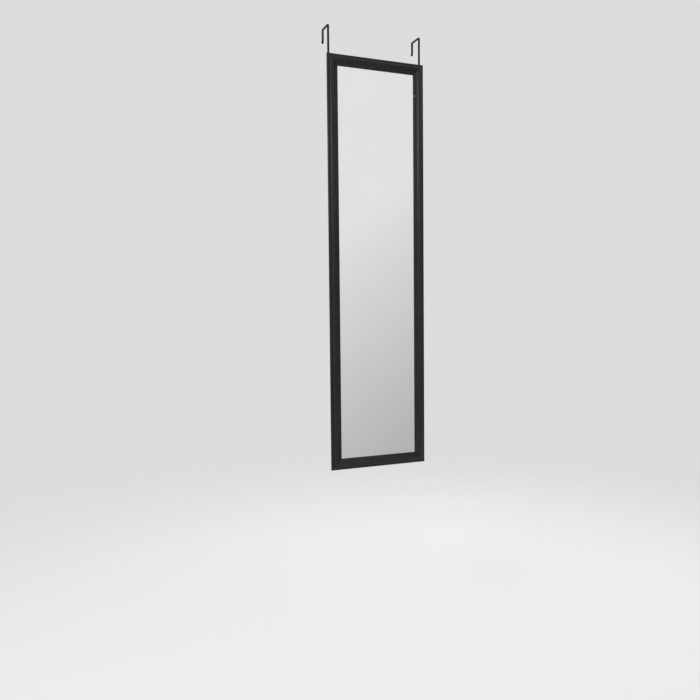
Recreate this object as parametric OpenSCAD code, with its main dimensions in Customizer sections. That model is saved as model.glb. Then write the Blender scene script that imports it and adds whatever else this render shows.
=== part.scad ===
// Over-the-door mirror: a mitred moulded frame that hangs from two slotted steel hooks.
// Millimetres. X runs to the right, Y into the door and Z up.
// The origin is on the front edge of the door's top, midway between the hooks.

/* [Frame] */
// Outer width of the frame
frame_w = 320; // [240:5:500]
// Outer height of the frame
frame_h = 1250; // [800:10:1600]
// Width of the moulding, seen from the front
rail_w = 33.5; // [31:0.5:45]
// Radius of the quarter-round along the outer edge
round_r = 7; // [6:0.1:8]
// Height of the round's crest above the frame's back
side_h = 9.8; // [9:0.1:11]
// Depth of the groove between round and crown
quirk_depth = 0.4; // [0.3:0.1:1.2]
// Width that this groove takes off the round
quirk_w = 0.2; // [0.2:0.1:0.6]
// Radius of the crown
crown_r = 8.5; // [8:0.1:9]
// Rise of the crown above the lip
crown_rise = 6.4; // [6:0.1:7]
// Radius of the hollow between crown and band
cove_r = 6; // [5:0.1:7]
// Slope of the line from the crown's centre to the hollow's, as rise over run
cove_slope = 0.75; // [0.7:0.05:0.8]
// Slope of the band from the hollow down to the lip's edge, as rise over run
band_slope = 0.14; // [0.08:0.01:0.2]
// Thickness of the lip in front of the glass
lip_t = 2; // [1.8:0.1:3]
// Radius of the lip's inner edge
lip_r = 1.2; // [0.6:0.1:1.5]

/* [Glass and back] */
// Width of the rabbet that the glass lies in
rabbet_w = 9; // [6:0.5:10]
// Play round the glass in the rabbet
glass_gap = 1; // [0.5:0.1:2]
// Thickness of the mirror glass
glass_t = 3; // [2:0.5:4]
// Thickness of the card sheet behind the glass
card_t = 0.5; // [0.5:0.5:2]
// How far the card sheet stays inside the glass's edge
card_margin = 3; // [0:0.5:10]
// Thickness of the backing board
board_t = 2; // [1.5:0.5:4]
// Depth of the rabbet left free behind the board
board_inset = 1.1; // [0.8:0.1:2]

/* [Glazier's points] */
// Points along each stile
stile_points = 4; // [2:1:6]
// Points along the top and along the bottom rail
rail_points = 2; // [1:1:3]
// Width of a point
point_w = 8; // [5:0.5:12]
// Thickness of a point
point_t = 0.5; // [0.3:0.1:0.8]
// Depth of a point's tip in the moulding
point_sunk = 5; // [3:0.5:8]
// Reach of a point over the rabbet
point_reach = 6; // [4:0.5:8]

/* [Corner nails] */
// Length of each leg of a V nail
nail_leg = 7; // [5:0.5:8]
// Thickness of the nail's steel
nail_t = 0.6; // [0.4:0.1:0.8]
// Height of a nail
nail_h = 5; // [4:0.5:6]
// Angle between the two legs
nail_angle = 70; // [50:5:80]
// Distance of the first nail's ridge from the frame's outer edges
nail_inset = 4.5; // [4:0.1:6]
// Distance from the first nail's ridge to the second's, along each edge
nail_pitch = 8; // [7:0.1:9]
// How far a nail is driven below the frame's back
nail_sunk = 0.3; // [0:0.1:1]
// Play of nails and points in the slits that they cut
kerf_play = 0.02; // [0.01:0.01:0.05]

/* [Hooks] */
// Thickness of the door that the hooks fit
door_t = 45; // [30:1:60]
// Distance from the door's top down to the frame's top
drop = 84; // [60:1:150]
// Distance of each strap's centre line from the frame's outer edge
hook_inset = 9; // [8:0.5:12]
// Width of the strap
strap_w = 6.5; // [5:0.5:8]
// Thickness of the strap
strap_t = 1.5; // [1:0.1:2]
// Inner radius of the strap's bends
bend_r = 1; // [0.5:0.1:1]
// Length of the lip behind the door
hook_lip = 38; // [20:1:60]
// Length of the flared end of that lip
flare_l = 6; // [5:0.5:12]
// Slope of the flared end, as run over rise
flare_slope = 0.75; // [0.3:0.05:1]
// Thickness of the foam pad inside the hook
pad_t = 1; // [1:0.1:3]
// Clear length between the front bend and the start of the pad
pad_start = 4; // [2:0.5:10]
// Distance from the hook lip's flare up to the end of the pad
pad_end = 3; // [1:0.5:10]

/* [Slotted foot] */
// Width of the slotted foot
foot_w = 12; // [10:0.5:14]
// Straight length between the joggle and the foot's taper
neck = 2; // [1:0.5:5]
// Length of the taper from strap to foot
taper_l = 5; // [3:0.5:8]
// Distance from the frame's top down to the start of the joggle
joggle_start = 3; // [2:0.5:10]
// Slope of the joggle that brings the foot forward to the frame's back, as run over rise
joggle_slope = 0.75; // [0.5:0.05:1]
// Height adjustment each way from the middle
travel = 30; // [10:1:40]
// Distance from the taper's end down to the top of the slot
slot_margin = 5; // [4:0.5:12]
// Distance between the two clamp screws
screw_pitch = 25; // [15:1:40]
// Play of the clamp screws in the slot, each side
slot_play = 0.15; // [0.1:0.05:0.3]
// Gap between the foot and what it slides along
slide_gap = 0.05; // [0.05:0.05:0.15]

/* [Clamp screws] */
// Diameter of the screw's shank
screw_d = 3; // [2.5:0.1:3.5]
// Depth of the screw in the stile
screw_depth = 5; // [4:0.1:5.5]
// Length of the screw's point
screw_tip = 1.5; // [1:0.1:2]
// Play round the shank in the stile
pilot_play = 0.03; // [0.02:0.01:0.1]
// Diameter of the pan head
head_d = 5.6; // [5:0.1:6.5]
// Height of the pan head
head_h = 1.5; // [1.2:0.1:1.7]
// Radius of the pan head's rim
head_r = 0.7; // [0.3:0.1:1]
// Diameter of the washer
washer_d = 7; // [6.5:0.1:9]
// Thickness of the washer
washer_t = 0.5; // [0.4:0.1:0.8]
// Clearance from the screw heads to the door
head_clear = 0.45; // [0.3:0.05:2]

/* [Bumpers] */
// Diameter of the rubber bumpers
bumper_d = 12; // [8:0.5:18]
// Distance of a bumper's centre from the frame's outer edges
bumper_inset = 12; // [9:0.5:15]
// Radius of the bumper's rim
bumper_r = 1.5; // [0.5:0.1:2]

/* [Hidden] */
$fn = 96;

left = -1;
right = 1;
cut = 1; // how far a cutter runs past the face that it opens

// Depths are counted forward from the frame's back
rabbet_d = glass_t + card_t + board_t + board_inset;
lip_h = rabbet_d + lip_t;
rail_t = lip_h + crown_rise;

// The moulding's profile, counted inward from the outer edge
nose_rise = 0.05; // how far the lip's round edge stands above the band
crown_u = round_r + crown_r;
crown_v = rail_t - crown_r;
nose_u = rail_w - lip_r;
band_low = lip_h - nose_rise;
band_high = band_low + band_slope * (nose_u - crown_u);
cove_u = crown_u + (crown_r + cove_r) * cos(atan(cove_slope));
cove_v = crown_v + (crown_r + cove_r) * sin(atan(cove_slope));

// Stack between the frame's back and the door
foot_back = slide_gap + strap_t;
head_back = foot_back + slide_gap + washer_t + head_h;
standoff = head_back + head_clear;

// Heights
frame_top = -drop;
frame_mid = frame_top - frame_h / 2;
foot_y = -standoff + foot_back;
joggle_top = frame_top - joggle_start;
joggle_angle = atan(joggle_slope);
flare_angle = atan(flare_slope);
joggle_l = (-foot_y - (2 * bend_r + strap_t) * (1 - cos(joggle_angle))) / sin(joggle_angle);
joggle_h = (2 * bend_r + strap_t) * sin(joggle_angle) + joggle_l * cos(joggle_angle);
taper_top = joggle_top - joggle_h - neck;
foot_top = taper_top - taper_l;
slot_r = screw_d / 2 + slot_play;
slot_top = foot_top - slot_margin - slot_r;
screw_top = slot_top - travel;
screw_low = screw_top - screw_pitch;
slot_low = screw_low - travel;

hook_x = frame_w / 2 - hook_inset;
opening_w = frame_w - 2 * (rail_w - rabbet_w);
opening_h = frame_h - 2 * (rail_w - rabbet_w);
pane_w = opening_w - 2 * glass_gap;
pane_h = opening_h - 2 * glass_gap;
pane_low = frame_mid - opening_h / 2;

// Outline of the moulding, with the outer edge along Y and the back along X
module moulding() {
    difference() {
        union() {
            intersection() {
                translate([round_r, side_h - round_r]) circle(round_r);
                square([round_r - quirk_w, side_h]);
            }
            square([round_r, side_h - round_r]);
            translate([round_r - 3 * quirk_w, 0]) square([crown_r + 3 * quirk_w, side_h - quirk_depth]);
            intersection() {
                translate([crown_u, crown_v]) circle(crown_r);
                square([rail_w, rail_t + cut]);
            }
            difference() {
                union() {
                    polygon([[crown_u, 0], [cove_u, 0], [cove_u, cove_v], [crown_u, crown_v]]);
                    polygon([[crown_u, 0], [nose_u, 0], [nose_u, band_low], [crown_u, band_high]]);
                }
                translate([cove_u, cove_v]) circle(cove_r);
            }
            translate([nose_u, lip_h - lip_r]) circle(lip_r);
            translate([nose_u - lip_r, 0]) square([2 * lip_r, lip_h - lip_r]);
        }
        translate([rail_w - rabbet_w, -cut]) square([rabbet_w + cut, rabbet_d + cut]);
    }
}

// A length of moulding along X, mitred at both ends, with its outer edge on the X axis
module mitred_rail(length) {
    intersection() {
        rotate([90, 0, 90]) linear_extrude(length) rotate(90) moulding();
        rotate([90, 0, 0]) linear_extrude(rail_t + cut)
            polygon([[0, 0], [length, 0], [length - rail_w, rail_w], [rail_w, rail_w]]);
    }
}

// Places a rail, turned about the frame's centre from its place at the bottom
module frame_side(angle, length, half) {
    translate([0, -standoff, frame_mid]) rotate([0, angle, 0])
        translate([-length / 2, 0, -half]) mitred_rail(length);
}

// Puts children at the frame's back in a corner, with X and Y running inward along the frame's sides
module at_corner(side_x, side_z) {
    translate([side_x * frame_w / 2, -standoff, frame_mid + side_z * frame_h / 2])
        mirror([side_x > 0 ? 1 : 0, 0, 0]) mirror([0, 0, side_z > 0 ? 1 : 0])
            rotate([90, 0, 0]) children();
}

// V nails in all four corners; play widens them to the kerfs that they cut in from the frame's back
module v_nails(play) {
    start = play > 0 ? -cut : nail_sunk;
    for (side_x = [left, right], side_z = [-1, 1], inset = [nail_inset, nail_inset + nail_pitch])
        at_corner(side_x, side_z) translate([inset, inset, start])
            linear_extrude(nail_sunk + nail_h + play - start)
                for (turn = [-1, 1]) rotate(45 + turn * nail_angle / 2)
                    translate([-play, -nail_t / 2 - play]) square([nail_leg + 2 * play, nail_t + 2 * play]);
}

// One glazier's point that leaves the rabbet's wall along X, centred on Y
module glazier_point(play) {
    translate([0, 0, board_inset - point_t - play]) linear_extrude(point_t + 2 * play)
        polygon([[-point_sunk - play, 0], [0, -point_w / 2 - play], [point_reach, -point_w / 2 - play],
            [point_reach, point_w / 2 + play], [0, point_w / 2 + play]]);
}

// A row of points along one side of the rabbet
module point_row(angle, half, span, count, play) {
    translate([0, -standoff, frame_mid]) rotate([0, angle, 0])
        for (i = [1 : count]) translate([span * (i / (count + 1) - 0.5), 0, -half])
            rotate([90, 0, 0]) rotate(90) glazier_point(play);
}

// Points on all four sides; play widens them to their slits
module points(play) {
    for (turn = [left, right]) point_row(turn * 90, opening_w / 2, opening_h, stile_points, play);
    for (angle = [0, 180]) point_row(angle, opening_h / 2, opening_w, rail_points, play);
}

// Puts children at both clamp screws of one hook, on the frame's back, with Z towards the door
module at_screws(side) {
    for (z = [screw_top, screw_low])
        translate([side * hook_x, -standoff, z]) rotate([-90, 0, 0]) children();
}

module stile(side) {
    color("#242424") difference() {
        frame_side(-side * 90, frame_h, frame_w / 2);
        kerfs();
        at_screws(side) translate([0, 0, -screw_depth - screw_tip / 2])
            cylinder(r = screw_d / 2 + pilot_play, h = screw_depth + screw_tip / 2 + cut);
    }
}

module rail(angle) {
    color("#242424") difference() {
        frame_side(angle, frame_w, frame_h / 2);
        kerfs();
    }
}

// What the nails and points cut out of the frame
module kerfs() {
    v_nails(kerf_play);
    points(kerf_play);
}

// A sheet in the rabbet that stands on the bottom rail; depth counts from the frame's back
module sheet(depth, thickness, margin) {
    translate([-pane_w / 2 + margin, -standoff - depth - thickness, pane_low + margin])
        cube([pane_w - 2 * margin, thickness, pane_h - 2 * margin]);
}

module mirror_glass() {
    color("#d9dcde") sheet(board_inset + board_t + card_t, glass_t, 0);
}

module card_sheet() {
    color("#f2f2f0") sheet(board_inset + board_t, card_t, card_margin);
}

module backing_board() {
    color("#7a5a3c") sheet(board_inset, board_t, 0);
}

module corner_v_nails() {
    color("#9a9da0") v_nails(0);
}

module glazier_points() {
    color("#9a9da0") points(0);
}

// A bend in the strap, about its own centre, from straight ahead to turned; a positive turn is to the left
module strap_bend(turn) {
    reach = bend_r + strap_t + cut;
    intersection() {
        difference() {
            circle(bend_r + strap_t);
            circle(bend_r);
        }
        translate([0, -reach]) square([reach, 2 * reach]);
        rotate(turn) translate([-reach, -reach]) square([reach, 2 * reach]);
    }
}

// The strap's edge view, from a list of [straight length, bend after it], starting along X
module strap_path(steps, i = 0) {
    length = steps[i][0];
    turn = steps[i][1];
    square([length, strap_t]);
    if (turn != 0)
        translate([length, turn > 0 ? strap_t + bend_r : -bend_r]) {
            strap_bend(turn);
            rotate(turn) translate([0, turn > 0 ? -strap_t - bend_r : bend_r]) strap_path(steps, i + 1);
        }
}

// The slotted foot, flat in X and Z, hanging from the strap's lower end
module foot_outline() {
    difference() {
        union() {
            polygon([[-strap_w / 2, taper_top], [-foot_w / 2, foot_top], [-foot_w / 2, slot_low],
                [foot_w / 2, slot_low], [foot_w / 2, foot_top], [strap_w / 2, taper_top]]);
            translate([0, slot_low]) circle(foot_w / 2);
        }
        for (z = [slot_top, slot_low]) translate([0, z]) circle(slot_r);
        translate([-slot_r, slot_low]) square([2 * slot_r, slot_top - slot_low]);
    }
}

// What is cut off the flared end to round it, before it is moved to its place beside the hook
module tip_corners() {
    translate([0, door_t + pad_t + strap_t + bend_r, flare_l - hook_lip]) rotate([flare_angle, 0, 0])
        translate([0, -bend_r + cut, strap_w / 2 - flare_l]) rotate([90, 0, 0])
            linear_extrude(strap_t + 2 * cut) difference() {
                translate([-strap_w, -strap_w]) square([2 * strap_w, strap_w]);
                circle(strap_w / 2);
            }
}

module hook(side) {
    front_leg = pad_t - bend_r - joggle_top;
    bridge = door_t + pad_t - 2 * bend_r;
    steps = [[neck + taper_l / 2, -joggle_angle], [joggle_l, joggle_angle], [front_leg, -90], [bridge, -90],
        [hook_lip - flare_l + pad_t - bend_r, flare_angle], [flare_l, 0]];
    color("#2a2a2a") translate([side * hook_x, 0, 0]) {
        difference() {
            translate([-strap_w / 2, foot_y, taper_top - taper_l / 2]) rotate([90, 0, 90])
                linear_extrude(strap_w) rotate(90) strap_path(steps);
            tip_corners();
        }
        translate([0, foot_y, 0]) rotate([90, 0, 0]) linear_extrude(strap_t) foot_outline();
    }
}

// Foam strip under the hook's bridge and down the inside of its lip
module hook_pad(side) {
    pad_low = hook_lip - flare_l - pad_end;
    color("#4a4a4a") translate([side * hook_x - strap_w / 2, 0, 0]) rotate([90, 0, 90])
        linear_extrude(strap_w) {
            translate([pad_start, 0]) square([door_t - pad_start, pad_t]);
            translate([door_t, -pad_low]) square([pad_t, pad_low]);
            translate([door_t, 0]) intersection() {
                circle(pad_t);
                square(pad_t);
            }
        }
}

// A pan-head screw whose head rests on Z = 0 and whose shank runs down
module pan_screw(shank) {
    rotate_extrude() {
        square([head_d / 2 - head_r, head_h]);
        square([head_d / 2, head_h - head_r]);
        intersection() {
            translate([head_d / 2 - head_r, head_h - head_r]) circle(head_r);
            square([head_d, head_h]);
        }
    }
    translate([0, 0, screw_tip - shank]) cylinder(d = screw_d, h = shank - screw_tip);
    translate([0, 0, -shank]) cylinder(d1 = screw_d / 4, d2 = screw_d, h = screw_tip);
}

module clamp_screws(side) {
    seat = foot_back + slide_gap + washer_t;
    color("#8f9295") at_screws(side) translate([0, 0, seat]) pan_screw(seat + screw_depth);
}

module clamp_washers(side) {
    color("#a4a7aa") at_screws(side) translate([0, 0, foot_back + slide_gap]) difference() {
        cylinder(d = washer_d, h = washer_t);
        translate([0, 0, -cut]) cylinder(r = slot_r, h = washer_t + 2 * cut);
    }
}

// A rubber disc with a rounded rim, on the frame's back in a lower corner
module bumper(side) {
    color("#1e1e1e")
        translate([side * (frame_w / 2 - bumper_inset), -standoff, frame_top - frame_h + bumper_inset])
            rotate([-90, 0, 0]) rotate_extrude() {
                square([bumper_d / 2 - bumper_r, standoff]);
                square([bumper_d / 2, standoff - bumper_r]);
                translate([bumper_d / 2 - bumper_r, standoff - bumper_r]) circle(bumper_r);
            }
}

stile(left);  // left_stile
stile(right);  // right_stile
rail(180);  // top_rail
rail(0);  // bottom_rail
corner_v_nails();
mirror_glass();
card_sheet();
backing_board();
glazier_points();
hook(left);  // left_hook
hook(right);  // right_hook
hook_pad(left);  // left_hook_pad
hook_pad(right);  // right_hook_pad
clamp_screws(left);  // left_clamp_screws
clamp_screws(right);  // right_clamp_screws
clamp_washers(left);  // left_clamp_washers
clamp_washers(right);  // right_clamp_washers
bumper(left);  // left_bumper
bumper(right);  // right_bumper
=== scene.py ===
import math

import bpy
from mathutils import Matrix, Vector


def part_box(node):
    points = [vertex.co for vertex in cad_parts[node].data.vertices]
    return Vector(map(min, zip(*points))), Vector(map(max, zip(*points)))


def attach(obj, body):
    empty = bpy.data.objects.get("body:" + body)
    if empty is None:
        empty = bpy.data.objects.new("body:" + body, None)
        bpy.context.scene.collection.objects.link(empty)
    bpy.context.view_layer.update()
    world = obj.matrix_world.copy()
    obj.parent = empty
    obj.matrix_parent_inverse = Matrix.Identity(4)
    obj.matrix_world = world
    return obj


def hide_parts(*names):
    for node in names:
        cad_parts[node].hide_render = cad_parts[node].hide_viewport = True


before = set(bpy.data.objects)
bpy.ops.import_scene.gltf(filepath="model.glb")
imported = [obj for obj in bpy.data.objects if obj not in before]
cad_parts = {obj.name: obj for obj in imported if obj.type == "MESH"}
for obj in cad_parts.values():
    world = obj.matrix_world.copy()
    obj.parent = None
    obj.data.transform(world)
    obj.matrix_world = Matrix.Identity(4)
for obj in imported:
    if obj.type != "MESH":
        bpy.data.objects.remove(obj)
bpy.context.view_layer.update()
scene = bpy.context.scene
mm = 0.001  # the pieces' dictionaries hold millimetres and degrees, their looks linear colours
weld = 0.002 * mm  # points closer than this become one
aligned = 0.9  # a direction lies along an axis when this much of it does
mitreAngle = 45
noiseSpan = (0.3, 0.7)  # where the values of a noise mostly lie
xAxis, yAxis, zAxis = (1, 0, 0), (0, 1, 0), (0, 0, 1)
print("frame loaded:", len(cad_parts), "nodes")

# What the pieces share, as the frame gives it, in metres
leftX, backY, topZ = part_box("left_stile")[0][0], *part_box("left_stile")[1][1:]
rightX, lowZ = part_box("right_stile")[1][0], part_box("right_stile")[0][2]
middleZ = (topZ + lowZ) / 2
strapX = sum(corner[0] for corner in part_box("right_hook")) / 2
sides = (("left", -strapX), ("right", strapX))
frameCentre = Matrix.Translation((0, 0, middleZ))
halfTurn = frameCentre @ Matrix.Rotation(math.pi, 4, "Y") @ frameCentre.inverted()


# Selecting and drawing by hand

def deselectAll():
    if bpy.context.object and bpy.context.object.mode != "OBJECT":
        bpy.ops.object.mode_set(mode="OBJECT")
    bpy.ops.object.select_all(action="DESELECT")


def pickOnly(*pieces):
    deselectAll()
    for piece in pieces:
        piece.select_set(True)
    bpy.context.view_layer.objects.active = pieces[0]


def nameIt(piece, name):
    piece.name = name
    piece.data.name = name
    return piece


def openAll(piece):  # into edit mode with all of the piece selected
    pickOnly(piece)
    bpy.ops.object.mode_set(mode="EDIT")
    bpy.ops.mesh.select_all(action="SELECT")


def selectBy(kind, test):  # test takes one vertex, edge or face of the mesh
    mesh = bpy.context.object.data
    bpy.ops.mesh.select_mode(type=kind)
    bpy.ops.mesh.select_all(action="DESELECT")
    bpy.ops.object.mode_set(mode="OBJECT")
    for element in {"VERT": mesh.vertices, "EDGE": mesh.edges, "FACE": mesh.polygons}[kind]:
        element.select = test(element)
    bpy.ops.object.mode_set(mode="EDIT")


def selectEdges(test):  # test takes the edge's middle and its direction
    mesh = bpy.context.object.data

    def tested(edge):
        start, end = (mesh.vertices[i].co for i in edge.vertices)
        return test((start + end) / 2, (end - start).normalized())

    selectBy("EDGE", tested)


def inMetres(lengths):  # the same values, read as millimetres
    return {key: value * mm for key, value in lengths.items()}


def startLine(name, point):  # one vertex in edit mode, from which an outline is drawn
    deselectAll()
    bpy.ops.mesh.primitive_plane_add(size=mm, location=point)
    piece = nameIt(bpy.context.object, name)
    bpy.ops.object.transform_apply(location=True)
    bpy.ops.object.mode_set(mode="EDIT")
    bpy.ops.mesh.select_mode(type="VERT")
    bpy.ops.mesh.select_all(action="SELECT")
    bpy.ops.mesh.merge(type="CENTER")
    return piece


def goBy(step):  # draws the outline on, or pulls the selected face out
    bpy.ops.mesh.extrude_region_move(TRANSFORM_OT_translate={"value": Vector(step)})


def turnBy(centre, axis, degrees, steps):  # positive degrees follow the right hand round the axis
    bpy.ops.mesh.spin(steps=steps, angle=-math.radians(degrees), center=centre, axis=axis)


def mergeDoubles():
    bpy.ops.mesh.select_all(action="SELECT")
    bpy.ops.mesh.remove_doubles(threshold=weld)


def closeOutline():
    mergeDoubles()
    bpy.ops.mesh.select_all(action="SELECT")
    bpy.ops.mesh.edge_face_add()


def latheAll(steps):  # turns a drawn outline once round the Z axis
    bpy.ops.mesh.select_all(action="SELECT")
    bpy.ops.mesh.spin(steps=steps, angle=2 * math.pi, center=(0, 0, 0), axis=zAxis)
    mergeDoubles()


def leaveEdit():
    bpy.ops.mesh.select_all(action="SELECT")
    bpy.ops.mesh.normals_make_consistent(inside=False)
    bpy.ops.object.mode_set(mode="OBJECT")


def addModifier(piece, kind, **settings):
    pickOnly(piece)
    modifier = piece.modifiers.new(kind.lower(), kind)
    for key, value in settings.items():
        setattr(modifier, key, value)
    bpy.ops.object.modifier_apply(modifier=modifier.name)


def softenEdges(piece, width, segments=2, over=40):  # where two faces turn by more than that angle
    addModifier(piece, "BEVEL", width=width, segments=segments, limit_method="ANGLE",
                angle_limit=math.radians(over), miter_outer="MITER_ARC")


def smooth(piece, under=35):  # where two faces turn by less than that angle
    pickOnly(piece)
    bpy.ops.object.shade_smooth_by_angle(angle=math.radians(under))


def cutWith(piece, cutter, keepCutter=False):
    addModifier(piece, "BOOLEAN", operation="DIFFERENCE", object=cutter, solver="EXACT")
    if not keepCutter:
        bpy.data.objects.remove(cutter)


def dropSlivers(piece):  # the cuts leave faces of no width
    openAll(piece)
    bpy.ops.mesh.remove_doubles(threshold=weld)
    bpy.ops.mesh.dissolve_degenerate(threshold=weld)
    leaveEdit()


def copyOf(piece, name):
    twin = piece.copy()
    twin.data = piece.data.copy()
    scene.collection.objects.link(twin)
    return nameIt(twin, name)


def placeBy(piece, matrix):  # moves the mesh itself, so that the object stays at the origin
    pickOnly(piece)
    piece.matrix_world = matrix @ piece.matrix_world
    bpy.ops.object.transform_apply(location=True, rotation=True, scale=True)
    return piece


def mirrored(piece, name):  # the right-hand twin of a left-hand piece
    twin = placeBy(copyOf(piece, name), Matrix.Scale(-1, 4, xAxis))
    openAll(twin)
    leaveEdit()
    return twin


def joinAll(pieces, name):
    pickOnly(*pieces)
    bpy.ops.object.join()
    return nameIt(bpy.context.object, name)


def addCube(name, low, high):
    deselectAll()
    low, high = Vector(low), Vector(high)
    bpy.ops.mesh.primitive_cube_add(size=1, location=(low + high) / 2, scale=high - low)
    bpy.ops.object.transform_apply(location=True, scale=True)
    return nameIt(bpy.context.object, name)


def dress(piece, body, slotName, node, *materials):
    piece.data.materials.clear()
    for material in materials:
        piece.data.materials.append(material)
    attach(piece, body)
    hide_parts(node)
    return piece


# Nodes that the materials share

def newMaterial(name):
    material = bpy.data.materials.new(name)
    material.use_nodes = True
    tree = material.node_tree
    shader = tree.nodes["Principled BSDF"]
    coords = tree.nodes.new("ShaderNodeTexCoord")
    return material, tree, shader, coords.outputs["Object"]


def stretched(tree, place, scale):
    mapping = tree.nodes.new("ShaderNodeMapping")
    mapping.inputs["Scale"].default_value = scale
    tree.links.new(place, mapping.inputs["Vector"])
    return mapping.outputs["Vector"]


def noise(tree, place, scale, detail=4.0, rough=0.55, curl=0.0):
    node = tree.nodes.new("ShaderNodeTexNoise")
    node.inputs["Scale"].default_value = scale
    node.inputs["Detail"].default_value = detail
    node.inputs["Roughness"].default_value = rough
    node.inputs["Distortion"].default_value = curl
    tree.links.new(place, node.inputs["Vector"])
    return node.outputs["Fac"]


def ramp(tree, factor, stops):
    node = tree.nodes.new("ShaderNodeValToRGB")
    while len(node.color_ramp.elements) < len(stops):
        node.color_ramp.elements.new(0.5)
    for element, (position, colour) in zip(node.color_ramp.elements, stops):
        element.position = position
        element.color = (*colour, 1)
    tree.links.new(factor, node.inputs["Fac"])
    return node.outputs["Color"]


def twoTones(tree, noiseFactor, look):
    return ramp(tree, noiseFactor, [(noiseSpan[0], look["dark"]), (noiseSpan[1], look["pale"])])


def toRange(tree, factor, low, high, fromLow=noiseSpan[0], fromHigh=noiseSpan[1]):
    node = tree.nodes.new("ShaderNodeMapRange")
    node.inputs["From Min"].default_value = fromLow
    node.inputs["From Max"].default_value = fromHigh
    node.inputs["To Min"].default_value = low
    node.inputs["To Max"].default_value = high
    tree.links.new(factor, node.inputs["Value"])
    return node.outputs["Result"]


def bump(tree, height, distance, strength=1.0, under=None):
    node = tree.nodes.new("ShaderNodeBump")
    node.inputs["Distance"].default_value = distance
    node.inputs["Strength"].default_value = strength
    tree.links.new(height, node.inputs["Height"])
    if under:
        tree.links.new(under, node.inputs["Normal"])
    return node.outputs["Normal"]


def makeFinish(name, **own):  # two close tones, uneven gloss, a grain and a finer one on it
    look = {"patches": 60, "grain": 2500, "grainDeep": 0.02, "stretch": (1, 1, 1), "fine": 6000,
            "fineDeep": 0.006, "metallic": 0.0, "specular": 0.5}
    look.update(own)
    material, tree, shader, place = newMaterial(name)
    patches = noise(tree, place, look["patches"], detail=5)
    tree.links.new(twoTones(tree, patches, look), shader.inputs["Base Color"])
    tree.links.new(toRange(tree, patches, *look["rough"]), shader.inputs["Roughness"])
    grain = noise(tree, stretched(tree, place, look["stretch"]), look["grain"], detail=3)
    coarse = bump(tree, grain, look["grainDeep"] * mm)
    fine = noise(tree, place, look["fine"], detail=2)
    tree.links.new(bump(tree, fine, look["fineDeep"] * mm, under=coarse), shader.inputs["Normal"])
    shader.inputs["Metallic"].default_value = look["metallic"]
    shader.inputs["Specular IOR Level"].default_value = look["specular"]
    return material


# V nails across the mitres, and glazier's points that hold the hardboard in

# The fillet keeps the bend's inner corner, and the knee the point's shoulders, off the planes where the
# frame is cut, because the cut gives uneven meshes when corners lie exactly on them
vNail = {"leg": 7, "thick": 0.6, "angle": 70, "inset": 4.5, "pitch": 8, "edge": 0.08, "fillet": 0.3,
         "bendSteps": 9}
glazierPoint = {"wide": 8, "reach": 6, "sunk": 5, "knee": 0.1, "corner": 1.3, "edge": 0.08, "dishIn": 1.15,
                "dishDeep": 0.14, "perStile": 4, "perRail": 2, "cornerSteps": 4}
steel = {"dark": (0.40, 0.40, 0.41), "pale": (0.55, 0.55, 0.56), "patches": 300, "rough": (0.25, 0.42),
         "grain": 900, "grainDeep": 0.012, "stretch": (1, 1, 6), "metallic": 1.0}


def drawVNail(name, startY):  # lies in X and Z with its ridge at the origin and opens up and to the right
    half, leg, fillet = vNail["thick"] * mm / 2, vNail["leg"] * mm, vNail["fillet"] * mm
    along = []
    for degrees in (mitreAngle - vNail["angle"] / 2, mitreAngle + vNail["angle"] / 2):
        turn = math.radians(degrees)
        along.append(Vector((math.cos(turn), 0, math.sin(turn))))
    lower, upper = along
    outLower = Vector((lower.z, 0, -lower.x)) * half
    outUpper = Vector((-upper.z, 0, upper.x)) * half
    inner = (lower + upper).normalized() * half / math.sin(math.radians(vNail["angle"] / 2))
    piece = startLine(name, lower * leg + outLower)
    goBy(-lower * leg)
    turnBy((0, 0, 0), yAxis, 180 - vNail["angle"], vNail["bendSteps"])
    goBy(upper * leg)
    goBy(-2 * outUpper)
    goBy(inner + upper * (fillet - leg) + outUpper)
    goBy((lower - upper) * fillet)
    goBy(lower * (leg - fillet) - outLower - inner)
    closeOutline()
    goBy((0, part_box("corner_v_nails")[0][1] - startY, 0))
    leaveEdit()
    return placeBy(piece, Matrix.Translation((0, startY, 0)))


def addVNails(name, startY):  # startY is where they begin at the back
    first = drawVNail("vNail", startY)
    nails = []
    for inset in (vNail["inset"] * mm, (vNail["inset"] + vNail["pitch"]) * mm):
        corner = Matrix.Translation((leftX + inset, 0, lowZ + inset))
        lowLeft = placeBy(copyOf(first, "vNailLowLeft"), corner)
        lowRight = mirrored(lowLeft, "vNailLowRight")
        nails += [lowLeft, lowRight]
        nails += [placeBy(copyOf(nail, nail.name + "Top"), halfTurn) for nail in (lowLeft, lowRight)]
    bpy.data.objects.remove(first)
    return joinAll(nails, name)


def drawPoint(name):  # lies on the bottom rail's rabbet wall at X = 0, with its tip sunk in the wall
    low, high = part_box("glazier_points")
    g = inMetres(glazierPoint)
    wallZ = low[2] + g["sunk"]
    piece = startLine(name, (0, high[1], low[2]))
    goBy((-g["wide"] / 2, 0, g["sunk"] + g["knee"]))
    goBy((0, 0, g["reach"] - g["knee"]))
    goBy((g["wide"], 0, 0))
    goBy((0, 0, g["knee"] - g["reach"]))
    closeOutline()
    goBy((0, low[1] - high[1], 0))
    selectEdges(lambda middle, along: abs(along.y) > aligned and middle.z > wallZ + g["reach"] / 2)
    bpy.ops.mesh.bevel(offset=g["corner"], segments=glazierPoint["cornerSteps"])
    leaveEdit()
    openAll(piece)
    selectBy("FACE", lambda face: face.normal.y > aligned)
    bpy.ops.mesh.inset(thickness=g["dishIn"])  # a pressed dish, which stiffens the thin sheet
    bpy.ops.transform.translate(value=(0, -g["dishDeep"], 0))
    leaveEdit()
    return piece


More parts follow.
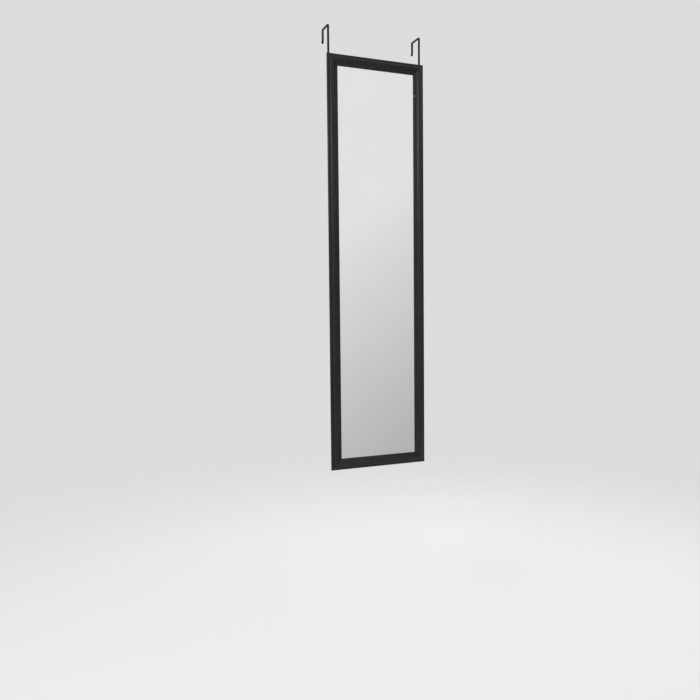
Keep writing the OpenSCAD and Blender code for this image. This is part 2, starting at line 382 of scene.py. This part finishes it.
def addPoints(name):
    first = drawPoint("glazierPoint")
    low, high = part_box("glazier_points")
    rabbetWide = high[0] - low[0] - 2 * glazierPoint["sunk"] * mm
    rabbetTall = high[2] - low[2] - 2 * glazierPoint["sunk"] * mm
    ontoStile = (Matrix.Translation((-rabbetWide / 2, 0, middleZ)) @ Matrix.Rotation(math.pi / 2, 4, "Y")
                 @ Matrix.Translation((0, 0, rabbetTall / 2 - middleZ)))
    points = []
    for count, span, turn in ((glazierPoint["perRail"], rabbetWide, Matrix.Identity(4)),
                              (glazierPoint["perStile"], rabbetTall, ontoStile)):
        for i in range(count):
            along = Matrix.Translation((span * ((i + 1) / (count + 1) - 0.5), 0, 0))
            point = placeBy(copyOf(first, "point"), turn @ along)
            points += [point, placeBy(copyOf(point, "pointAcross"), halfTurn)]
    bpy.data.objects.remove(first)
    return joinAll(points, name)


vNails = addVNails("vNails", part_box("corner_v_nails")[1][1])
glazierPoints = addPoints("glazierPoints")


# Four lengths of moulding, mitred at the corners

moulding = {"wide": 33.5, "backIn": 1.5, "roundR": 5, "roundTop": 9.8, "quirkFrom": 6.8, "quirkDeep": 0.4,
            "crownFrom": 7, "crownR": 8.5, "crownTop": 15, "coveR": 6, "coveSlope": 0.75, "bandSlope": 0.14,
            "lip": 8.6, "lipR": 1.2, "noseRise": 0.05, "rabbet": 9, "rabbetDeep": 6.6, "edge": 0.14,
            "softOver": 29, "smoothUnder": 30, "pilotR": 1.53, "pilotDeep": 5.75, "roundSteps": 16,
            "crownSteps": 32, "coveSteps": 14, "noseSteps": 8, "pilotSteps": 32}
plastic = {"dark": (0.0075, 0.0075, 0.0078), "pale": (0.0125, 0.0125, 0.013), "rough": (0.33, 0.45),
           "specular": 0.28, "patches": 14, "lines": 1500, "stretch": 0.012, "lineDeep": 0.035,
           "grain": 3600, "grainDeep": 0.03}


def makePlastic(name, along):  # satin black, with the fine lines of drawn-out moulding
    material, tree, shader, place = newMaterial(name)
    patches = noise(tree, place, plastic["patches"], detail=5)
    lines = noise(tree, stretched(tree, place, along), plastic["lines"], detail=3)
    grain = noise(tree, place, plastic["grain"], detail=2, rough=0.5)
    tree.links.new(twoTones(tree, patches, plastic), shader.inputs["Base Color"])
    tree.links.new(toRange(tree, patches, *plastic["rough"]), shader.inputs["Roughness"])
    drawn = bump(tree, lines, plastic["lineDeep"] * mm)
    tree.links.new(bump(tree, grain, plastic["grainDeep"] * mm, under=drawn), shader.inputs["Normal"])
    shader.inputs["Specular IOR Level"].default_value = plastic["specular"]
    return material


def crossing(centre, radius, point, slope, side):  # where a line leaves a circle, left (-1) or right (1)
    along = Vector((1, slope)).normalized()
    away = Vector(centre) - Vector(point)
    middle = away.dot(along)
    half = math.sqrt(radius ** 2 - away.length_squared + middle ** 2)
    return Vector(point) + along * (middle + side * half)


def angleFrom(centre, point):
    return math.degrees(math.atan2(point[1] - centre[1], point[0] - centre[0]))


def drawMoulding(name, length):  # as the bottom rail: drawn at its left end, then pulled out
    m = inMetres(moulding)

    def at(point):  # inward from the outer edge, and forward from the back
        return Vector((-length / 2, backY - point[1], lowZ + point[0]))

    def drawTo(point):
        goBy(at(point) - at(drawTo.last))
        drawTo.last = point

    def arcTo(centre, point, turn, steps):
        turnBy(at(centre), xAxis, turn, steps)
        drawTo.last = point

    rise = math.atan(moulding["coveSlope"])
    outward = Vector((math.cos(rise), math.sin(rise)))  # from the crown's centre to where the cove begins
    roundMid = Vector((m["roundR"], m["roundTop"] - m["roundR"]))
    quirkV = m["roundTop"] - m["quirkDeep"]
    crownMid = Vector((m["crownFrom"] + m["crownR"], m["crownTop"] - m["crownR"]))
    crownStart = crossing(crownMid, m["crownR"], (0, quirkV), 0, -1)
    crownEnd = crownMid + outward * m["crownR"]
    coveMid = crownMid + outward * (m["crownR"] + m["coveR"])
    noseMid = Vector((m["wide"] - m["lipR"], m["lip"] - m["lipR"]))
    bandEdge = (noseMid[0], m["lip"] - m["noseRise"])
    coveEnd = crossing(coveMid, m["coveR"], bandEdge, -moulding["bandSlope"], 1)
    noseStart = crossing(noseMid, m["lipR"], bandEdge, -moulding["bandSlope"], -1)

    piece = startLine(name, at((m["backIn"], 0)))
    drawTo.last = (m["backIn"], 0)
    drawTo((0, roundMid[1]))
    arcTo(roundMid, (m["roundR"], m["roundTop"]), -90, moulding["roundSteps"])
    drawTo((m["quirkFrom"], m["roundTop"]))
    drawTo((m["quirkFrom"], quirkV))
    drawTo(crownStart)
    riseTurn = math.degrees(rise)
    arcTo(crownMid, crownEnd, riseTurn - angleFrom(crownMid, crownStart), moulding["crownSteps"])
    arcTo(coveMid, coveEnd, angleFrom(coveMid, coveEnd) + 180 - riseTurn, moulding["coveSteps"])
    drawTo(noseStart)
    arcTo(noseMid, (m["wide"], noseMid[1]), -angleFrom(noseMid, noseStart), moulding["noseSteps"])
    drawTo((m["wide"], m["rabbetDeep"]))
    drawTo((m["wide"] - m["rabbet"], m["rabbetDeep"]))
    drawTo((m["wide"] - m["rabbet"], 0))
    closeOutline()
    goBy((length, 0, 0))
    for end in (-1, 1):  # the mitres
        bpy.ops.mesh.select_all(action="SELECT")
        bpy.ops.mesh.bisect(plane_co=(end * length / 2, 0, lowZ), plane_no=(end, 0, 1), use_fill=True,
                            clear_outer=True)
    leaveEdit()
    softenEdges(piece, m["edge"], over=moulding["softOver"])
    return piece


def makeFrameCutter():  # the nails' and points' slits, and the holes of the clamp screws
    drills = []
    for x in (-strapX, strapX):
        for z in (clampScrew["topZ"], clampScrew["lowZ"]):
            deselectAll()
            bpy.ops.mesh.primitive_cylinder_add(
                vertices=moulding["pilotSteps"], radius=moulding["pilotR"] * mm,
                depth=2 * moulding["pilotDeep"] * mm, location=(x, backY, z * mm),
                rotation=(math.pi / 2, 0, 0))
            bpy.ops.object.transform_apply(location=True, rotation=True)
            drills.append(bpy.context.object)
    nails = addVNails("nailCutter", backY + mm)  # open at the back, where they were driven in
    return joinAll([nails, copyOf(glazierPoints, "pointCutter"), *drills], "frameCutter")


clampScrew = {"topZ": -135.15, "lowZ": -160.15, "headR": 2.8, "headTall": 1.5, "rim": 0.7, "dome": 11,
              "shankR": 1.5, "long": 7.1, "tip": 1.5, "tipR": 0.2, "seatY": -1.95, "pitch": 1.1,
              "threadDeep": 0.36, "threadSteep": 1.6, "threadFrom": -0.05, "rows": 64, "domeSteps": 5,
              "rimSteps": 6, "turnSteps": 28, "crossLong": 3.2, "crossWide": 0.72, "crossDeep": 0.95,
              "crossTaperLong": 0.5, "crossTaperWide": 0.7, "smoothUnder": 38}

plasticUpright = makePlastic("framePlasticUpright", (1, 1, plastic["stretch"]))
plasticLevel = makePlastic("framePlasticLevel", (plastic["stretch"], 1, 1))
# A stile is drawn on the bottom line too: it goes to the middle, turns, and moves out to its side
asStile = (Matrix.Translation((leftX, 0, middleZ)) @ Matrix.Rotation(math.pi / 2, 4, "Y")
           @ Matrix.Translation((0, 0, -lowZ)))
bottomRail = drawMoulding("bottomRail", rightX - leftX)
leftStile = placeBy(drawMoulding("leftStile", topZ - lowZ), asStile)
topRail = placeBy(copyOf(bottomRail, "topRail"), halfTurn)
rightStile = placeBy(copyOf(leftStile, "rightStile"), halfTurn)
frameCutter = makeFrameCutter()
for piece, node, material in ((bottomRail, "bottom_rail", plasticLevel), (topRail, "top_rail", plasticLevel),
                              (leftStile, "left_stile", plasticUpright),
                              (rightStile, "right_stile", plasticUpright)):
    cutWith(piece, frameCutter, keepCutter=True)
    dropSlivers(piece)
    smooth(piece, moulding["smoothUnder"])
    dress(piece, "mirror", "frame_plastic", node, material)
bpy.data.objects.remove(frameCutter)
print("frame drawn")

bareSteel = makeFinish("bareSteel", **steel)
for piece, node, edge in ((vNails, "corner_v_nails", vNail["edge"]),
                          (glazierPoints, "glazier_points", glazierPoint["edge"])):
    softenEdges(piece, edge * mm, segments=1)
    smooth(piece)
    dress(piece, "mirror", "bare_steel", node, bareSteel)
print("nails and points driven in")


# Mirror glass, card sheet and hardboard

pane = {"arris": 0.5, "clear": 2, "gap": 0.01, "cardEdge": 0.12, "boardEdge": 0.35}
silver = {"tones": [(0.2, (0.958, 0.957, 0.958)), (0.8, (0.977, 0.976, 0.977))], "rough": (0.010, 0.020),
          "smears": 9, "wave": 5, "waveDeep": 0.02, "waveStrength": 0.4}
clearLook = {"dark": (0.08, 0.15, 0.12), "pale": (0.11, 0.19, 0.16), "patches": 12, "rough": (0.01, 0.03),
             "grain": 40, "grainDeep": 0.002, "fineDeep": 0.0, "veil": 0.03}
board = {"tones": [(0.34, (0.15, 0.080, 0.040)), (0.46, (0.225, 0.128, 0.067)),
                   (0.66, (0.29, 0.175, 0.098))],
         "rough": (0.5, 0.9), "screenRough": (0.75, 0.9), "flecks": 260, "fleckDetail": 10, "fleckRough": 0.8,
         "fibres": 900, "fibreDetail": 8, "fibreRough": 0.7, "curl": 1.6, "fibreDeep": 0.06, "screen": 1.6,
         "screenDeep": 0.3}


def makeSilver():
    material, tree, shader, place = newMaterial("mirrorSilver")
    shader.inputs["Metallic"].default_value = 1.0
    smears = noise(tree, place, silver["smears"], detail=3)
    tree.links.new(ramp(tree, smears, silver["tones"]), shader.inputs["Base Color"])
    tree.links.new(toRange(tree, smears, *silver["rough"]), shader.inputs["Roughness"])
    wave = noise(tree, place, silver["wave"], detail=1)
    unevenness = bump(tree, wave, silver["waveDeep"] * mm, silver["waveStrength"])
    tree.links.new(unevenness, shader.inputs["Normal"])
    return material


def makeHardboard(name, screened):  # pressed fibre; its rough side shows the wire screen it was pressed on
    material, tree, shader, place = newMaterial(name)
    fibres = noise(tree, place, board["fibres"], board["fibreDetail"], board["fibreRough"], board["curl"])
    flecks = noise(tree, place, board["flecks"], board["fleckDetail"], board["fleckRough"], board["curl"])
    tree.links.new(ramp(tree, flecks, board["tones"]), shader.inputs["Base Color"])
    roughness = toRange(tree, fibres, *board["screenRough" if screened else "rough"])
    tree.links.new(roughness, shader.inputs["Roughness"])
    normal = bump(tree, fibres, board["fibreDeep"] * mm)
    if screened:
        wires = []
        for direction in ("X", "Z"):
            wave = tree.nodes.new("ShaderNodeTexWave")
            wave.bands_direction = direction
            wave.inputs["Scale"].default_value = math.pi / (10 * board["screen"] * mm)  # one band a wire
            wave.inputs["Distortion"].default_value = 0.0
            tree.links.new(place, wave.inputs["Vector"])
            wires.append(wave.outputs["Fac"])
        both = tree.nodes.new("ShaderNodeMath")
        both.operation = "MULTIPLY"
        tree.links.new(wires[0], both.inputs[0])
        tree.links.new(wires[1], both.inputs[1])
        normal = bump(tree, both.outputs["Value"], board["screenDeep"] * mm, under=normal)
    tree.links.new(normal, shader.inputs["Normal"])
    return material


def addSheet(name, node, edge):
    sheet = addCube(name, *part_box(node))
    softenEdges(sheet, edge * mm)
    return sheet


def addPane(name):  # clear glass, as deep as 3 mm of it looks, and the silvered and painted back behind it
    low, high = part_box("mirror_glass")
    clear = addCube(name, low, (high[0], silverY - pane["gap"] * mm, high[2]))
    softenEdges(clear, pane["arris"] * mm)
    back = addCube("silveredBack", (low[0], silverY, low[2]), high)
    softenEdges(back, pane["cardEdge"] * mm)
    return joinAll([clear, back], name)


def paneFace(face):  # the number of its material, in the order in which the pane is dressed
    if abs(face.normal.y) < aligned:
        return 2  # ground edge
    if face.center.y < silverY - pane["gap"] * mm / 2:
        return 1  # clear glass
    return 0 if face.normal.y < 0 else 3  # silver in front, paint behind


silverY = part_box("mirror_glass")[0][1] + pane["clear"] * mm
mirrorPane = addPane("mirrorPane")
clearGlass = makeFinish("clearGlass", **clearLook)
clearGlass.node_tree.nodes["Principled BSDF"].inputs["Alpha"].default_value = clearLook["veil"]
glassEdge = makeFinish("groundGlassEdge", dark=(0.10, 0.22, 0.17), pale=(0.18, 0.33, 0.27), rough=(0.3, 0.5))
backPaint = makeFinish("mirrorBackPaint", dark=(0.16, 0.17, 0.18), pale=(0.2, 0.21, 0.22), patches=20,
                       rough=(0.5, 0.62), grain=1500)
dress(mirrorPane, "mirror", "mirror", "mirror_glass", makeSilver(), clearGlass, glassEdge, backPaint)
for face in mirrorPane.data.polygons:
    face.material_index = paneFace(face)

cardSheet = addSheet("cardSheet", "card_sheet", pane["cardEdge"])
greyCard = makeFinish("greyCard", dark=(0.36, 0.35, 0.33), pale=(0.46, 0.45, 0.43), patches=40,
                      rough=(0.85, 0.95), grain=1500, grainDeep=0.05)
dress(cardSheet, "mirror", "card", "card_sheet", greyCard)

hardboardBack = addSheet("hardboardBack", "backing_board", pane["boardEdge"])
dress(hardboardBack, "mirror", "hardboard", "backing_board", makeHardboard("hardboardSmooth", False),
      makeHardboard("hardboardScreened", True))
for face in hardboardBack.data.polygons:  # the screened side faces the door
    face.material_index = 1 if face.normal.y > aligned else 0
print("glass, card and hardboard laid in")


# Two hooks of black flat steel: a slotted foot, a joggle, the bridge over the door and a flared lip

hook = {"wide": 6.5, "footWide": 12, "thick": 1.5, "bendR": 1, "neckTop": -91.5, "taperTop": -93.5,
        "footTop": -98.5, "slotTop": -105.15, "slotLow": -190.15, "slotR": 1.65, "footY": -2.5,
        "lean": 36.87, "leanLong": 3, "joggleTop": -87, "legY": 0, "bridgeEnd": 45, "padThick": 1,
        "lipLow": -32, "flareLong": 6, "tip": 2.9, "edge": 0.22, "softOver": 50, "smoothUnder": 30,
        "endSteps": 28, "bendSteps": 14, "leanSteps": 6, "tipSteps": 8}
coat = {"dark": (0.006, 0.006, 0.0062), "pale": (0.010, 0.010, 0.0103), "rough": (0.33, 0.46),
        "specular": 0.24, "grain": 1100, "grainDeep": 0.05, "fine": 5200, "fineDeep": 0.012}


def drawSlot(name, x):  # the slot's cutter, 1 mm past the strap on both faces
    h = inMetres(hook)
    y = h["footY"] + mm
    piece = startLine(name, (x - h["slotR"], y, h["slotTop"]))
    goBy((0, 0, h["slotLow"] - h["slotTop"]))
    turnBy((x, y, h["slotLow"]), yAxis, -180, hook["endSteps"])
    goBy((0, 0, h["slotTop"] - h["slotLow"]))
    turnBy((x, y, h["slotTop"]), yAxis, -180, hook["endSteps"])
    closeOutline()
    goBy((0, -h["thick"] - 2 * mm, 0))
    leaveEdit()
    return piece


def drawHook(name, x):  # the foot is drawn, pulled out and slotted, and the strap grows from its top
    h = inMetres(hook)
    lean = math.radians(hook["lean"])
    leanSin, leanCos = math.sin(lean), math.cos(lean)
    half, footHalf = h["wide"] / 2, h["footWide"] / 2
    bridgeZ = h["padThick"] - h["bendR"]
    lipY = h["bridgeEnd"] + h["padThick"]
    piece = startLine(name, (x - half, h["footY"], h["neckTop"]))
    goBy((0, 0, h["taperTop"] - h["neckTop"]))
    goBy((half - footHalf, 0, h["footTop"] - h["taperTop"]))
    goBy((0, 0, h["slotLow"] - h["footTop"]))
    turnBy((x, h["footY"], h["slotLow"]), yAxis, -180, hook["endSteps"])
    goBy((0, 0, h["footTop"] - h["slotLow"]))
    goBy((half - footHalf, 0, h["taperTop"] - h["footTop"]))
    goBy((0, 0, h["neckTop"] - h["taperTop"]))
    closeOutline()
    goBy((0, -h["thick"], 0))
    leaveEdit()
    cutWith(piece, drawSlot(name + "Slot", x))
    openAll(piece)
    selectBy("FACE", lambda face: face.normal.z > aligned and face.center.z > h["neckTop"] - weld)
    turnBy((x, h["footY"] + h["bendR"], h["neckTop"]), xAxis, -hook["lean"], hook["leanSteps"])
    goBy((0, h["leanLong"] * leanSin, h["leanLong"] * leanCos))
    legFront = h["legY"] - h["thick"] - h["bendR"]
    turnBy((x, legFront, h["joggleTop"]), xAxis, hook["lean"], hook["leanSteps"])
    goBy((0, 0, bridgeZ - h["joggleTop"]))
    turnBy((x, h["legY"] + h["bendR"], bridgeZ), xAxis, -90, hook["bendSteps"])
    goBy((0, lipY - 2 * h["bendR"], 0))
    turnBy((x, lipY - h["bendR"], bridgeZ), xAxis, -90, hook["bendSteps"])
    goBy((0, 0, h["lipLow"]))
    flareY = lipY + h["thick"] + h["bendR"]
    turnBy((x, flareY, h["lipLow"]), xAxis, hook["lean"], hook["leanSteps"])
    goBy((0, h["flareLong"] * leanSin, -h["flareLong"] * leanCos))
    mergeDoubles()
    leaveEdit()
    openAll(piece)
    tipY = flareY + h["flareLong"] * leanSin / 2
    tipZ = h["lipLow"] - h["flareLong"] * leanCos
    selectEdges(lambda middle, along: middle.y > tipY and middle.z < tipZ and abs(along.x) < 1 - aligned)
    bpy.ops.mesh.bevel(offset=h["tip"], segments=hook["tipSteps"])
    leaveEdit()
    softenEdges(piece, h["edge"], over=hook["softOver"])
    smooth(piece, hook["smoothUnder"])
    return piece


blackCoat = makeFinish("blackPowderCoat", **coat)
for side, x in sides:
    dress(drawHook(side + "Hook", x), side + "_hanger", "black_steel", side + "_hook", blackCoat)
print("hooks bent")


# Foam strips that keep the hooks off the door

foam = {"wide": 6.5, "thick": 1, "startY": 4, "cornerY": 45, "lowZ": -29, "edge": 0.32, "edgeSteps": 3,
        "softOver": 50, "smoothUnder": 40, "cornerSteps": 8}
# the dark tone is painted shade at the bottoms of the pores, the pale one the foam's rims
foamLook = {"tones": [(0.12, (0.018, 0.018, 0.019)), (0.5, (0.062, 0.062, 0.064))], "pores": 2100,
            "poreDeep": 0.22, "patches": 300, "rough": (0.85, 0.97), "specular": 0.2}


def drawFoam(name, x):
    p = inMetres(foam)
    piece = startLine(name, (x - p["wide"] / 2, p["startY"], 0))
    goBy((p["wide"], 0, 0))
    goBy((0, 0, p["thick"]))
    goBy((-p["wide"], 0, 0))
    closeOutline()
    goBy((0, p["cornerY"] - p["startY"], 0))
    turnBy((x, p["cornerY"], 0), xAxis, -90, foam["cornerSteps"])
    goBy((0, 0, p["lowZ"]))
    mergeDoubles()
    bpy.ops.mesh.dissolve_degenerate(threshold=weld)
    leaveEdit()
    softenEdges(piece, p["edge"], foam["edgeSteps"], foam["softOver"])
    smooth(piece, foam["smoothUnder"])
    return piece


def makeFoam(name):  # closed cells of about half a millimetre, with painted shade darkening their hollows
    material, tree, shader, place = newMaterial(name)
    cells = tree.nodes.new("ShaderNodeTexVoronoi")
    cells.inputs["Scale"].default_value = foamLook["pores"]
    tree.links.new(place, cells.inputs["Vector"])
    depth = cells.outputs["Distance"]
    # painted shade: the tone follows how deep each point lies in its cell, so the bottoms of the pores come
    # out darker
    tree.links.new(ramp(tree, depth, foamLook["tones"]), shader.inputs["Base Color"])
    patches = noise(tree, place, foamLook["patches"])
    tree.links.new(toRange(tree, patches, *foamLook["rough"]), shader.inputs["Roughness"])
    tree.links.new(bump(tree, depth, foamLook["poreDeep"] * mm), shader.inputs["Normal"])
    shader.inputs["Specular IOR Level"].default_value = foamLook["specular"]
    return material


hookFoam = makeFoam("hookFoam")
for side, x in sides:
    pad = drawFoam(side + "HookPad", x)
    dress(pad, side + "_hanger", "pad_foam", side + "_hook_pad", hookFoam)
print("foam stuck on")


# Clamp screws and washers, made upright on Z = 0 and then laid along Y

washer = {"outR": 3.5, "inR": 1.65, "thick": 0.5, "edge": 0.09, "steps": 48}
zinc = {"dark": (0.53, 0.54, 0.56), "pale": (0.68, 0.69, 0.71), "patches": 400, "rough": (0.2, 0.38),
        "grain": 1800, "grainDeep": 0.012, "metallic": 1.0}
laidDown = Matrix.Rotation(-math.pi / 2, 4, "X")


def drawScrew(name):
    s = inMetres(clampScrew)
    rimR = s["headR"] - s["rim"]
    rimZ = s["headTall"] - s["dome"] + math.sqrt(s["dome"] ** 2 - rimR ** 2)
    domeTurn = math.degrees(math.asin(rimR / s["dome"]))
    piece = startLine(name, (0, 0, s["headTall"]))
    turnBy((0, 0, s["headTall"] - s["dome"]), yAxis, domeTurn, clampScrew["domeSteps"])
    turnBy((rimR, 0, rimZ - s["rim"]), yAxis, 90, clampScrew["rimSteps"])
    goBy((0, 0, s["rim"] - rimZ))
    goBy((s["shankR"] - s["headR"], 0, 0))
    rowTall = (s["long"] - s["tip"]) / clampScrew["rows"]
    for _ in range(clampScrew["rows"]):
        goBy((0, 0, -rowTall))
    tipRows = round(s["tip"] / rowTall)
    for _ in range(tipRows):
        goBy(((s["tipR"] - s["shankR"]) / tipRows, 0, -s["tip"] / tipRows))
    goBy((-s["tipR"], 0, 0))
    mergeDoubles()
    latheAll(clampScrew["turnSteps"])
    leaveEdit()
    for vertex in piece.data.vertices:  # the groove winds round the shank and deepens from its crest
        away = math.hypot(vertex.co.x, vertex.co.y)
        if vertex.co.z < s["threadFrom"] and away > s["tipR"] / 2:
            turns = vertex.co.z / s["pitch"] + math.atan2(vertex.co.y, vertex.co.x) / (2 * math.pi)
            groove = min(1, clampScrew["threadSteep"] * abs(2 * (turns % 1) - 1))
            narrow = 1 - s["threadDeep"] * groove / s["shankR"]
            vertex.co.x *= narrow
            vertex.co.y *= narrow
    for turn in (0, math.pi / 2):
        bar = addCube("crossCutter",
                      (-s["crossLong"] / 2, -s["crossWide"] / 2, s["headTall"] - s["crossDeep"]),
                      (s["crossLong"] / 2, s["crossWide"] / 2, s["headTall"] + mm))
        openAll(bar)
        selectBy("VERT", lambda vertex: vertex.co.z < s["headTall"])
        bpy.ops.transform.resize(value=(clampScrew["crossTaperLong"], clampScrew["crossTaperWide"], 1))
        leaveEdit()
        placeBy(bar, Matrix.Rotation(turn, 4, "Z"))
        cutWith(piece, bar)
    dropSlivers(piece)
    smooth(piece, clampScrew["smoothUnder"])
    return piece


def drawWasher(name):
    w = inMetres(washer)
    piece = startLine(name, (w["inR"], 0, 0))
    goBy((w["outR"] - w["inR"], 0, 0))
    goBy((0, 0, w["thick"]))
    goBy((w["inR"] - w["outR"], 0, 0))
    goBy((0, 0, -w["thick"]))
    mergeDoubles()
    latheAll(washer["steps"])
    leaveEdit()
    softenEdges(piece, w["edge"])
    smooth(piece)
    return piece


def addPair(first, name, x, seatY):
    pair = []
    for z in (clampScrew["topZ"], clampScrew["lowZ"]):
        pair.append(placeBy(copyOf(first, name), Matrix.Translation((x, seatY * mm, z * mm)) @ laidDown))
    return joinAll(pair, name)


zincSteel = makeFinish("zincSteel", **zinc)
firstScrew, firstWasher = drawScrew("clampScrew"), drawWasher("clampWasher")
for side, x in sides:
    screws = addPair(firstScrew, side + "ClampScrews", x, clampScrew["seatY"])
    dress(screws, "mirror", "zinc_steel", side + "_clamp_screws", zincSteel)
    washers = addPair(firstWasher, side + "ClampWashers", x, clampScrew["seatY"] - washer["thick"])
    dress(washers, "mirror", "zinc_steel", side + "_clamp_washers", zincSteel)
bpy.data.objects.remove(firstScrew)
bpy.data.objects.remove(firstWasher)
print("screws and washers set")


# Rubber bumpers in the lower corners

bumper = {"radius": 6, "tall": 4.05, "rim": 1.5, "foot": 0.3, "dishR": 3.4, "dishDeep": 0.35,
          "rimSteps": 8, "dishSteps": 8, "turnSteps": 64, "smoothUnder": 30}
rubberLook = {"dark": (0.012, 0.012, 0.012), "pale": (0.021, 0.021, 0.021), "patches": 120,
              "rough": (0.5, 0.68), "grain": 2600, "grainDeep": 0.04, "specular": 0.35}


def drawBumper(name):
    b = inMetres(bumper)
    piece = startLine(name, (0, 0, 0))
    goBy((b["radius"] - b["foot"], 0, 0))
    goBy((b["foot"], 0, b["foot"]))
    goBy((0, 0, b["tall"] - b["rim"] - b["foot"]))
    turnBy((b["radius"] - b["rim"], 0, b["tall"] - b["rim"]), yAxis, -90, bumper["rimSteps"])
    goBy((b["dishR"] - b["radius"] + b["rim"], 0, 0))
    dish = (b["dishR"] ** 2 + b["dishDeep"] ** 2) / (2 * b["dishDeep"])  # radius of the shallow dish
    dishTurn = math.degrees(math.asin(b["dishR"] / dish))
    turnBy((0, 0, b["tall"] - b["dishDeep"] + dish), yAxis, dishTurn, bumper["dishSteps"])
    mergeDoubles()
    latheAll(bumper["turnSteps"])
    leaveEdit()
    smooth(piece, bumper["smoothUnder"])
    return piece


rubber = makeFinish("bumperRubber", **rubberLook)
firstBumper = drawBumper("bumper")
for side in ("left", "right"):
    low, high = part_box(side + "_bumper")
    middle = ((low[0] + high[0]) / 2, low[1], (low[2] + high[2]) / 2)
    piece = placeBy(copyOf(firstBumper, side + "Bumper"), Matrix.Translation(middle) @ laidDown)
    dress(piece, "mirror", "bumper_rubber", side + "_bumper", rubber)
bpy.data.objects.remove(firstBumper)
print("bumpers stuck on")


# Floor, world, light and camera

studio = {"floorZ": -2.0, "floorR": 3.4, "floorSteps": 128, "floorFade": (1.4, 3.3), "floorRough": 0.9,
          "floorTone": (0.83, 0.83, 0.83), "behind": 0.72, "sideFade": (-0.25, 0.25),
          "frontTones": (0.445, 0.86), "frontSpan": (-0.63, -0.186), "frontTilt": (-0.83, 0, 1)}
lights = {"softKey": {"place": (-2.2, -1.35, 0.75), "aim": (0, 0, -0.3), "size": (1.1, 0.6), "power": 24},
          "softBack": {"place": (1.9, 1.7, 1.0), "aim": (0, 0, -0.6), "size": (1.0, 1.0), "power": 30}}
shot = {"place": (-0.8919, -1.9947, -0.8376), "yaw": 21.879, "pitch": -3.437, "roll": -0.578,
        "lens": 36.0, "sensor": 36.0, "nearest": 0.01}


def layFloor():
    deselectAll()
    bpy.ops.mesh.primitive_circle_add(vertices=studio["floorSteps"], radius=studio["floorR"],
                                      fill_type="NGON", location=(0, 0, studio["floorZ"]))
    floor = nameIt(bpy.context.object, "studioFloor")
    bpy.ops.object.transform_apply(location=True)
    material, tree, shader, place = newMaterial("paleFloor")
    shader.inputs["Roughness"].default_value = studio["floorRough"]
    shader.inputs["Base Color"].default_value = (*studio["floorTone"], 1)
    flat = stretched(tree, place, (1, 1, 0))  # the floor fades out with its distance from the middle
    length = tree.nodes.new("ShaderNodeVectorMath")
    length.operation = "LENGTH"
    tree.links.new(flat, length.inputs[0])
    fade = toRange(tree, length.outputs["Value"], 1, 0, *studio["floorFade"])
    tree.links.new(fade, shader.inputs["Alpha"])
    floor.data.materials.append(material)


def lightWorld():  # an even backdrop; what the glass reflects from in front darkens down and to the right
    world = bpy.data.worlds.new("paleStudio")
    scene.world = world
    world.use_nodes = True
    tree = world.node_tree
    coords = tree.nodes.new("ShaderNodeTexCoord")
    split = tree.nodes.new("ShaderNodeSeparateXYZ")
    tree.links.new(coords.outputs["Generated"], split.inputs[0])
    tilt = tree.nodes.new("ShaderNodeVectorMath")
    tilt.operation = "DOT_PRODUCT"
    tilt.inputs[1].default_value = studio["frontTilt"]
    tree.links.new(coords.outputs["Generated"], tilt.inputs[0])
    front = toRange(tree, tilt.outputs["Value"], *studio["frontTones"], *studio["frontSpan"])
    side = toRange(tree, split.outputs["Y"], 0, 1, *studio["sideFade"])
    rays = tree.nodes.new("ShaderNodeLightPath")
    plain = tree.nodes.new("ShaderNodeMath")
    plain.operation = "MAXIMUM"
    tree.links.new(side, plain.inputs[0])
    tree.links.new(rays.outputs["Is Camera Ray"], plain.inputs[1])
    mix = tree.nodes.new("ShaderNodeMix")
    mix.inputs["B"].default_value = studio["behind"]
    tree.links.new(plain.outputs["Value"], mix.inputs["Factor"])
    tree.links.new(front, mix.inputs["A"])
    tree.links.new(mix.outputs["Result"], tree.nodes["Background"].inputs["Color"])


def addLight(name, light):
    bpy.ops.object.light_add(type="AREA", location=light["place"])
    lamp = bpy.context.object
    lamp.name = name
    lamp.data.shape = "RECTANGLE"
    lamp.data.size, lamp.data.size_y = light["size"]
    lamp.data.energy = light["power"]
    aim = Vector(light["aim"]) - Vector(light["place"])
    lamp.rotation_euler = aim.to_track_quat("-Z", "Y").to_euler()


def setCamera():
    yaw, pitch, roll = (math.radians(shot[key]) for key in ("yaw", "pitch", "roll"))
    forward = Vector((math.sin(yaw) * math.cos(pitch), math.cos(yaw) * math.cos(pitch), math.sin(pitch)))
    level = Vector((math.cos(yaw), -math.sin(yaw), 0))
    upward = level.cross(forward)
    sideways = level * math.cos(roll) + upward * math.sin(roll)
    upright = upward * math.cos(roll) - level * math.sin(roll)
    bpy.ops.object.camera_add(location=shot["place"])
    camera = bpy.context.object
    camera.rotation_euler = Matrix((sideways, upright, -forward)).transposed().to_euler()
    camera.data.lens = shot["lens"]
    camera.data.sensor_width = shot["sensor"]
    camera.data.clip_start = shot["nearest"]
    scene.camera = camera


deselectAll()
layFloor()
lightWorld()
for name, light in lights.items():
    addLight(name, light)
setCamera()
scene.view_settings.view_transform = "Standard"
print("studio set")
